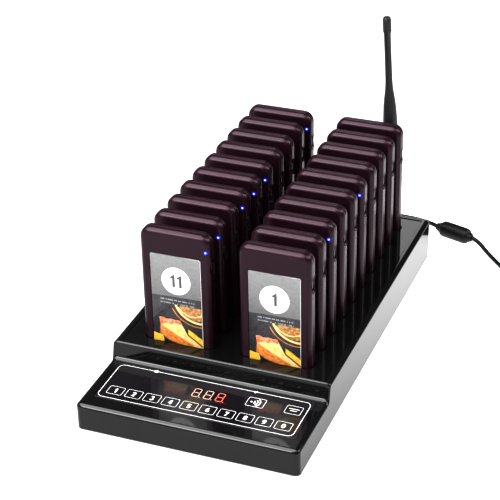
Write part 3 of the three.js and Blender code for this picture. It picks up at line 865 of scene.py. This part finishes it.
def add_keypad():
    """The touch panel, its display window, and everything printed on it."""
    mid_x, mid_y = middle(PANEL_LOW, PANEL_HIGH)
    half = (PANEL_HIGH - PANEL_LOW) / 2
    window_mid = middle(DISPLAY_LOW, DISPLAY_HIGH)
    window = (DISPLAY_HIGH - DISPLAY_LOW) / 2
    top = PANEL_HIGH.z
    film = plate(half.x, half.y, 2, PANEL_LOW.z, top, (mid_x, mid_y), edge=0.12)
    hole = plate(window.x + 0.12, window.y + 0.12, 0.9, PANEL_LOW.z - 1, top + 1, window_mid)
    add("keypad_film", tidy_flats(boolean([film], [hole], "DIFFERENCE")), FILM,
        stands_for=["keypad_panel"], angle=32)
    lens = plate(window.x, window.y, 0.8, DISPLAY_HIGH.z + 0.02, top, window_mid, edge=0.06)
    add("display_window", [lens], DISPLAY_LENS, angle=32)

    ink = top + 0.01
    ink_top = ink + INK_T
    mark_y = mid_y + 19.5
    outline = [
        line_frame(69.2, 19.6, 4.2, 0.4, ink, ink_top, (mid_x - 0.5, mid_y + 0.2)),
        band(circle((-43, mark_y), 1.5, 18), circle((-43, mark_y), 1.0, 18), ink, ink + 0.04),
        slab([(27.4, mark_y + 0.7), (29, mark_y - 1.6), (30.6, mark_y + 0.7)], ink, ink + 0.04),
    ]
    add("panel_outline", outline, INK)

    for i, digit in enumerate("1234567890"):
        centre = (TOUCH_KEY_X + TOUCH_KEY_PITCH * i, TOUCH_KEY_Y)
        parts = [line_frame(5.5, 4.5, 1.2, 0.27, ink, ink_top, centre)]
        parts += [moved(part, Matrix.Translation((*centre, ink))) for part in number_parts(digit, 4.6, INK_T)]
        add(f"touch_key_{digit}", parts, INK)

    x, y = CALL_KEY
    waves = [line_frame(6.2, 5, 1.2, 0.3, ink, ink_top, CALL_KEY)]
    waves += [arc_stroke((x - 2.6, y), radius, 0.75, -48, 48, ink) for radius in (1.9, 3.7, 5.5)]
    waves.append(slab(circle((x - 3.2, y), 0.75, 12), ink, ink_top))
    add("touch_key_call", waves, INK)
    x, y = FUNCTION_KEY
    strokes = [line_frame(5.6, 4.6, 1.2, 0.27, ink, ink_top, FUNCTION_KEY)]
    strokes += [plate(length, 0.28, 0.2, ink, ink_top, (x, y + dy), steps=2)
                for dy, length in ((1.2, 3.6), (-0.9, 2.4))]
    add("touch_key_function", strokes, INK)

    for i, material in enumerate((SEGMENT_PALE, SEGMENT_PALE, SEGMENT_RED)):
        digit = segment_digit((window_mid[0] + DIGIT_PITCH * (i - 1), window_mid[1]), ink)
        add(f"display_digit_{i + 1}", digit, material)


def arc_stroke(centre, radius, line, start, end, z, steps=10):
    """A thin printed arc."""
    outline = fillet(centre, radius + line / 2, start, end, steps)
    outline += fillet(centre, radius - line / 2, end, start, steps)
    return slab(outline, z, z + INK_T)


# --------------------------------------------------------------------- pagers


def soft_min(a, b, reach):
    overlap = max(reach - abs(a - b), 0)
    return min(a, b) - overlap * overlap / (4 * reach)


def scooped(vertex, half_w):
    """Presses the thumb scoop of the side key into the right side of a case, with a fine lip."""
    x, y, z = vertex
    rise = z - KEY_Z
    if x < half_w - 5 or abs(rise) > 8.2:
        return vertex
    reach = math.sqrt((y / 4.5) ** 2 + (rise / 6.5) ** 2)
    floor = half_w - 2.3 * (1 - reach ** 3)
    if x > half_w - SHELL_INSET + 0.01 or abs(y) > PAGER_SIZE.y / 2 - SHELL_INSET + 0.01:
        lip = 0.13 * math.exp(-((reach - 1.03) / 0.09) ** 2)
        return (soft_min(x, floor, 0.3) + lip, y, z)
    return (soft_min(x, floor - 1.0, 0.5), y, z)


def half_shell(side):
    """Front (side -1) or rear (side 1) half of a pager's case, hollow, with its key slot."""
    half_w, half_t, half_h = PAGER_SIZE.x / 2, PAGER_SIZE.y / 2, PAGER_SIZE.z / 2
    stops = [KEY_Z - 7.7 + 0.275 * k for k in range(57)]

    def ring(inset, depth):
        outline = rounded(half_w - inset, half_h - inset, max(PAGER_CORNER - inset, 0.6), 10,
                          (0, half_h), stops)
        return [(u, side * depth, v) for u, v in outline]

    def label_ring(grow, depth):
        straight = LABEL_HALF_H - LABEL_CORNER
        even = [LABEL_CENTRE_Z - straight + 2 * straight * k / len(stops) for k in range(len(stops))]
        outline = rounded(LABEL_HALF_W + grow, LABEL_HALF_H + grow, LABEL_CORNER, 10,
                          (0, LABEL_CENTRE_Z), even)
        return [(u, side * depth, v) for u, v in outline]

    flat = half_t - PAGER_EDGE
    rings = [ring(SHELL_INSET, half_t - SHELL_INSET), ring(SHELL_INSET, PARTING_GAP), ring(0.16, PARTING_GAP),
             ring(0.04, PARTING_GAP + 0.1), ring(0, PARTING_GAP + 0.26)]
    rings += [ring(0, flat * share) for share in (0.32, 0.48, 0.64, 0.8)]
    for angle in (math.radians(4.5 * k) for k in range(21)):
        rings.append(ring(PAGER_EDGE * (1 - math.cos(angle)), flat + PAGER_EDGE * math.sin(angle)))
    if side < 0:
        rings += [label_ring(grow, half_t - sink)
                  for grow, sink in ((0.42, 0), (0.3, 0.12), (0.3, LABEL_SINK))]
    vertices, faces = loft(rings)
    shell = ([scooped(vertex, half_w) for vertex in vertices], faces)
    slot = side_prism(rounded(KEY_HALF_WIDE + 0.32, KEY_HALF_LONG + 0.32, 1.4, 6, (0, KEY_Z)),
                      half_w - 6, half_w + 2)
    return smooth(tidy_flats(boolean([shell], [slot], "DIFFERENCE")), 30)


def key_mesh():
    """The side key: a pill with a domed outer face."""
    foot = PAGER_SIZE.x / 2 - 2.3
    rings = []
    for inset, out in ((0, 0), (0, 1.1), (0.12, 1.35), (0.4, 1.52), (0.8, 1.6)):
        outline = rounded(KEY_HALF_WIDE - inset, KEY_HALF_LONG - inset, max(1.2 - inset, 0.3), 6, (0, KEY_Z))
        rings.append([(foot + out, u, v) for u, v in outline])
    return smooth(mesh_from("side_key", [loft(rings)]), 40)


def window_mesh():
    """Label window, with its card behind it, as one thin slab with a polished edge."""
    half_t = PAGER_SIZE.y / 2
    front = half_t - WINDOW_FACE
    rings = []
    for inset, depth in ((0, front - 0.6), (0, front - 0.16), (0.05, front - 0.05), (0.16, front)):
        outline = rounded(LABEL_HALF_W - inset, LABEL_HALF_H - inset, 1.2 - inset, 8, (0, LABEL_CENTRE_Z))
        rings.append([(u, -depth, v) for u, v in outline])
    return smooth(mesh_from("label_window", [loft(rings)]), 30)


def case_depth(x):
    """Depth of the case's front face at a distance across it."""
    over = abs(x) - (PAGER_SIZE.x / 2 - PAGER_EDGE)
    half_t = PAGER_SIZE.y / 2
    if over <= 0:
        return half_t
    return half_t - PAGER_EDGE + math.sqrt(max(PAGER_EDGE ** 2 - over ** 2, 0))


def led_mesh(name):
    """A thin round lens that follows the rounded front edge."""
    circles, sectors = 8, 32
    radius = 2.5

    def point(r, k, lift):
        x = LED_X + r * math.cos(2 * math.pi * k / sectors)
        z = LED_Z + r * math.sin(2 * math.pi * k / sectors)
        return (x, -case_depth(x) - lift, z)

    rings = [[point(0.02, k, -0.3) for k in range(sectors)], [point(radius, k, -0.3) for k in range(sectors)]]
    for c in range(circles, 0, -1):
        r = radius * c / circles
        lift = 0.015 + 0.16 * max(1 - (r / 1.1) ** 2, 0)
        rings.append([point(r, k, lift) for k in range(sectors)])
    rings.append([point(0.02, k, 0.175) for k in range(sectors)])
    return smooth(mesh_from(name, [loft(rings)]), 40)


def contact_mesh():
    """Three charging pads on the lower end."""
    return mesh_from("charging_pads", [plate(1.3, 0.9, 0.4, -0.1, 0.0, (x, 0), steps=3) for x in (-4, 0, 4)])


def add_pagers():
    front, rear = half_shell(-1), half_shell(1)
    key, window, pads = key_mesh(), window_mesh(), contact_mesh()
    leds = {True: led_mesh("led_lit_lens"), False: led_mesh("led_dark_lens")}
    upright = Matrix.Translation((0, -PAGER_SIZE.y / 2 + WINDOW_FACE + 0.005, DISC_Z)) @ TO_FRONT
    for number, home in HOMES.items():
        name = f"pager_{number:02d}"
        nodes = pager_nodes(number)
        lit = number in LIT_PAGERS
        add(f"{name}_front_cover", front, PLUM, home, name, [nodes[0]], flats=True)
        add(f"{name}_rear_cover", rear, PLUM, home, name, [nodes[-1]], flats=True)
        add(f"{name}_label", window, LABEL, home, name, ["pager_01_window"] if number == 1 else ())
        add(f"{name}_side_key", key, KEY_PLUM, home, f"{name}_key", [f"{name}_key"])
        add(f"{name}_charging_pads", pads, GOLD, home, name)
        add(f"{name}_led", leds[lit], LED_LIT if lit else LED_DARK, home, name)
        numeral = [moved(part, upright) for part in number_parts(str(number), 9.6, 0.045, weight=1.95)]
        add(f"{name}_numeral", numeral, NUMERAL, home, name)


# ------------------------------------------------------ antenna, plug, adapter


def add_antenna():
    """The knuckle with its hinge pin, and the rubber whip with the tongue that sits in it."""
    low, high = node_box("antenna_knuckle")
    place = middle(low, high)
    hinge_z = high.z - EAR_RISE
    radius = (high.x - low.x) / 2
    profile = [(0, low.z), (radius - 0.4, low.z), (radius, low.z + 0.4), (radius, low.z + 3.2),
               (radius - 0.5, low.z + 3.6), (radius - 0.5, low.z + 4.2), (radius, low.z + 4.6),
               (radius, high.z - 1.2), (radius - 0.35, high.z - 0.35), (radius - 1.2, high.z), (0, high.z)]
    slot = side_prism(rounded(2.2, 6, 0.4, 3, (0, hinge_z + 1)), -8, 8)
    knuckle = boolean([turned(profile, 64)], [slot], "DIFFERENCE")
    pin_end = turned([(0, -5.3), (1.3, -5.3), (1.5, -5.1), (1.5, -2.3), (0, -2.3)], 32)
    pin = [moved(pin_end, Matrix.Translation((0, 0, hinge_z)) @ turn) for turn in (TO_FRONT, TO_REAR)]
    add("antenna_knuckle_moulding", tidy_flats(boolean(knuckle, pin, "UNION")), RUBBER, (*place, 0),
        "antenna_knuckle", ["antenna_knuckle"], angle=32)

    tip = WHIP_TIP
    outline = [(0, 5.9), (4.1, 5.9), (4.6, 6.3), (5.2, 9), (5.55, 16), (5.65, 34), (5.6, 56), (5.35, 68),
               (4.7, 80), (3.9, 87), (3.2, 92), (2.8, 96.5), (2.6, 102), (2.5, 118), (2.55, tip - 12.6),
               (2.95, tip - 11.8), (3.1, tip - 11), (3.1, tip - 3), (2.9, tip - 1.4), (2.3, tip - 0.4),
               (1.4, tip), (0, tip)]
    tongue_outline = rounded(2.8, 4.65, 2.7, 6, (0, 1.85))
    tongue = loft([[(u, y, v) for u, v in tongue_outline] for y in (-1.9, 1.9)])
    whip = boolean([turned(outline, 64)], [tongue], "UNION")
    whip.transform(Matrix.Rotation(WHIP_LEAN, 4, "Y"))
    add("antenna_whip_rubber", tidy_flats(whip), RUBBER, (*place, hinge_z), "antenna_whip",
        ["antenna_whip"], angle=35)


def add_plug_and_core():
    """The plug in the socket, and the ferrite core in its moulded sleeve."""
    low, high = node_box("dc_plug")
    profile = [(0, 0), (2.2, 0), (2.6, 0.5), (2.6, 9.6), (4.1, 9.6), (4.4, 10), (4.4, 20.6), (4.1, 21.2)]
    for rib in range(4):
        start, outer = 21.8 + rib * 2.6, 3.7 - rib * 0.3
        profile += [(outer - 0.8, start), (outer, start + 0.4),
                    (outer, start + 1.4), (outer - 0.8, start + 1.8)]
    profile += [(2.3, 32.6), (0, 32.6)]
    plug = add("dc_plug_moulding", [moved(turned(profile, 40), TO_REAR)], LEAD,
               ((low.x + high.x) / 2, low.y, (low.z + high.z) / 2), stands_for=["dc_plug"], angle=35)

    core_profile = [(0, 0), (2.4, 0), (2.9, 0.5), (3.1, 2.2), (3.9, 2.9), (4.2, 3.6), (4.2, 4.4), (5.3, 5.2),
                    (6.1, 6.4), (6.3, 7.4), (6.3, 25.8), (6.05, 27), (6.05, 27.5), (5.5, 28.6), (4.6, 29.4),
                    (4.0, 29.9), (3.9, 30.6), (3.3, 31.3), (3.1, 32.3), (2.4, 32.6), (0, 32.6)]
    matrix = Matrix.Rotation(CORE_HEADING, 4, "Z") @ Matrix.Rotation(math.radians(90), 4, "Y")
    core = add("ferrite_sleeve", [moved(turned(core_profile, 48), matrix)], LEAD, CORE_START,
               stands_for=["ferrite_core"], angle=35)
    return plug, core


def add_adapter():
    """The mains adapter: a soft-edged box with a seam, a ribbed relief and two prongs."""
    place = (*ADAPTER_PLACE, 0)
    half_w, half_l, top = ADAPTER_HALF_W, ADAPTER_HALF_L, ADAPTER_TOP
    levels = ((2.2, 0), (0.9, 0.3), (0.25, 1.0), (0, 2.2), (0, 13.2), (0.35, 13.4), (0.35, 13.8), (0, 14.0),
              (0, top - 2.4), (0.25, top - 1.1), (0.9, top - 0.35), (2.2, top))
    rings = [flat_ring(rounded(half_w - inset, half_l - inset, 4.5 - inset * 0.8, 8), height)
             for inset, height in levels]
    body = boolean([loft(rings)], [plate(11, 19, 1.5, top - 0.35, top + 1)], "DIFFERENCE")
    relief_profile = [(0, 28), (3.5, 28)]
    for rib in range(2):
        start, radius = 29 + rib * 2.4, 3.4 - rib * 0.5
        relief_profile += [(radius, start), (radius, start + 1.3), (2.5, start + 1.7)]
    relief_profile += [(2.3, 34), (0, 34)]
    relief = moved(turned(relief_profile, 32), Matrix.Translation((0, 0, RELIEF_Z)) @ TO_REAR)
    adapter = add("adapter_case", tidy_flats(boolean(body, [relief], "UNION")), LEAD, place,
                  stands_for=["power_adapter"], angle=32, flats=True)
    blades = []
    for x in (-PRONG_X, PRONG_X):
        outline = rounded(0.75, 3.15, 0.3, 3, (x, PRONG_Z))
        tip = [(x + (u - x) * 0.6, -46, PRONG_Z + (v - PRONG_Z) * 0.8) for u, v in outline]
        blades.append(loft([[(u, y, v) for u, v in outline] for y in (-28.5, -45.2)] + [tip]))
    return adapter, add("adapter_prongs", blades, STEEL, place, angle=32)


# ------------------------------------------------------------ carried-over nodes


def paint_nodes():
    """Gives the CAD nodes that stay their own finishes."""
    looks = {
        "display_module": MATTE, "main_board": BOARD, "charging_board": BOARD, "dc_jack": MATTE,
        "pager_01_board": BOARD, "pager_01_battery": FOIL, "pager_01_vibration_motor": STEEL,
    }
    for name, material in looks.items():
        if not NODES[name].material_slots:
            NODES[name].data.materials.append(material)
        for slot in NODES[name].material_slots:
            slot.material = material


# -------------------------------------------------------------- stage and light


# Painted pool of light on the floor: its glow is strongest at this point, to the base's right, and falls to
# an even level farther out.
PAINTED_LIGHT_POOL_PLACE = (0.16, 0.14, 0)
POOL_AND_FLOOR_GLOW_LEVELS = (1.9, 0.55)
PAINTED_LIGHT_POOL_REACH = (0.02, 0.3)


def add_stage():
    """A pale, softly glowing floor, with a painted pool of light that is brightest beside the base's right
    wall.
    """
    material, graph = new_material("floor_white", (0.3, 0.3, 0.3), 0.9)
    cloud = graph.spread(graph.noise(2.0), 0, 1)
    graph.shade("Base Color", graph.mix(cloud, (0.29, 0.29, 0.29), (0.31, 0.31, 0.31)))
    # Painted pool of light: the emission falls from the pool's level to the even floor glow with distance
    # from its centre.
    away = graph.distance(graph.place, PAINTED_LIGHT_POOL_PLACE)
    graph.shade("Emission Color", (1, 1, 1, 1))
    graph.shade("Emission Strength", graph.spread(away, *POOL_AND_FLOOR_GLOW_LEVELS, *PAINTED_LIGHT_POOL_REACH))
    mesh = bpy.data.meshes.new("floor")
    mesh.from_pydata([(-4, -4, 0), (4, -4, 0), (4, 4, 0), (-4, 4, 0)], [], [(0, 1, 2, 3)])
    mesh.materials.append(material)
    floor = bpy.data.objects.new("floor", mesh)
    floor.location.z = -0.0002
    bpy.context.scene.collection.objects.link(floor)


def add_area(name, place, target, size, power, shape="ELLIPSE"):
    """A softbox that faces a point, with a size in metres and a power in watts."""
    light = bpy.data.lights.new(name, "AREA")
    light.shape = shape
    light.size, light.size_y = size
    light.energy = power
    lamp = bpy.data.objects.new(name, light)
    lamp.location = place
    lamp.rotation_euler = (Vector(target) - Vector(place)).to_track_quat("-Z", "Y").to_euler()
    bpy.context.scene.collection.objects.link(lamp)


WORLD_LEVELS = ((0.0, 0.6), (0.45, 0.75), (0.7, 0.4), (1.0, 0.3))
WORLD_STRENGTH = 0.35


def add_lights():
    """A pale room, a little brighter to the front, with softboxes and cards."""
    world = bpy.data.worlds.new("studio")
    world.use_nodes = True
    tree = world.node_tree
    background = tree.nodes["Background"]
    place = tree.nodes.new("ShaderNodeTexCoord")
    split = tree.nodes.new("ShaderNodeSeparateXYZ")
    ramp = tree.nodes.new("ShaderNodeValToRGB")
    tree.links.new(place.outputs["Generated"], split.inputs[0])
    tree.links.new(split.outputs["Y"], ramp.inputs["Fac"])
    tree.links.new(ramp.outputs["Color"], background.inputs["Color"])
    ramp.color_ramp.elements.remove(ramp.color_ramp.elements[1])
    for i, (position, level) in enumerate(WORLD_LEVELS):
        element = ramp.color_ramp.elements[0] if i == 0 else ramp.color_ramp.elements.new(position)
        element.position = position
        element.color = (level, level, level, 1)
    background.inputs["Strength"].default_value = WORLD_STRENGTH
    bpy.context.scene.world = world
    add_area("ceiling_softbox", (-0.42, -0.62, 1.3), (-0.02, -0.1, 0.03), (1.9, 1.7), 68, "RECTANGLE")
    add_area("front_card", (-0.75, -1.5, 0.95), (0, -0.15, 0.03), (1.0, 0.7), 16)
    add_area("right_softbox", (1.0, -0.1, 1.15), (0.03, 0.0, 0.05), (0.5, 0.5), 9)
    add_area("right_back_light", (0.8, 0.62, 0.6), (0.12, 0.16, 0), (0.4, 0.4), 5)
    add_area("back_card", (-0.47, 1.97, 1.07), (0.06, 0.12, 0.03), (0.55, 0.4), 1.2)
    view = bpy.context.scene.view_settings
    view.view_transform = "Standard"
    view.exposure = 0.42
    view.gamma = 0.73


add_camera()
lead = add_lead()
plug_piece, core_piece = add_plug_and_core()
adapter_piece, prong_piece = add_adapter()
add_cover()
add_tray()
add_keypad()
add_pagers()
add_antenna()
paint_nodes()
add_stage()
add_lights()
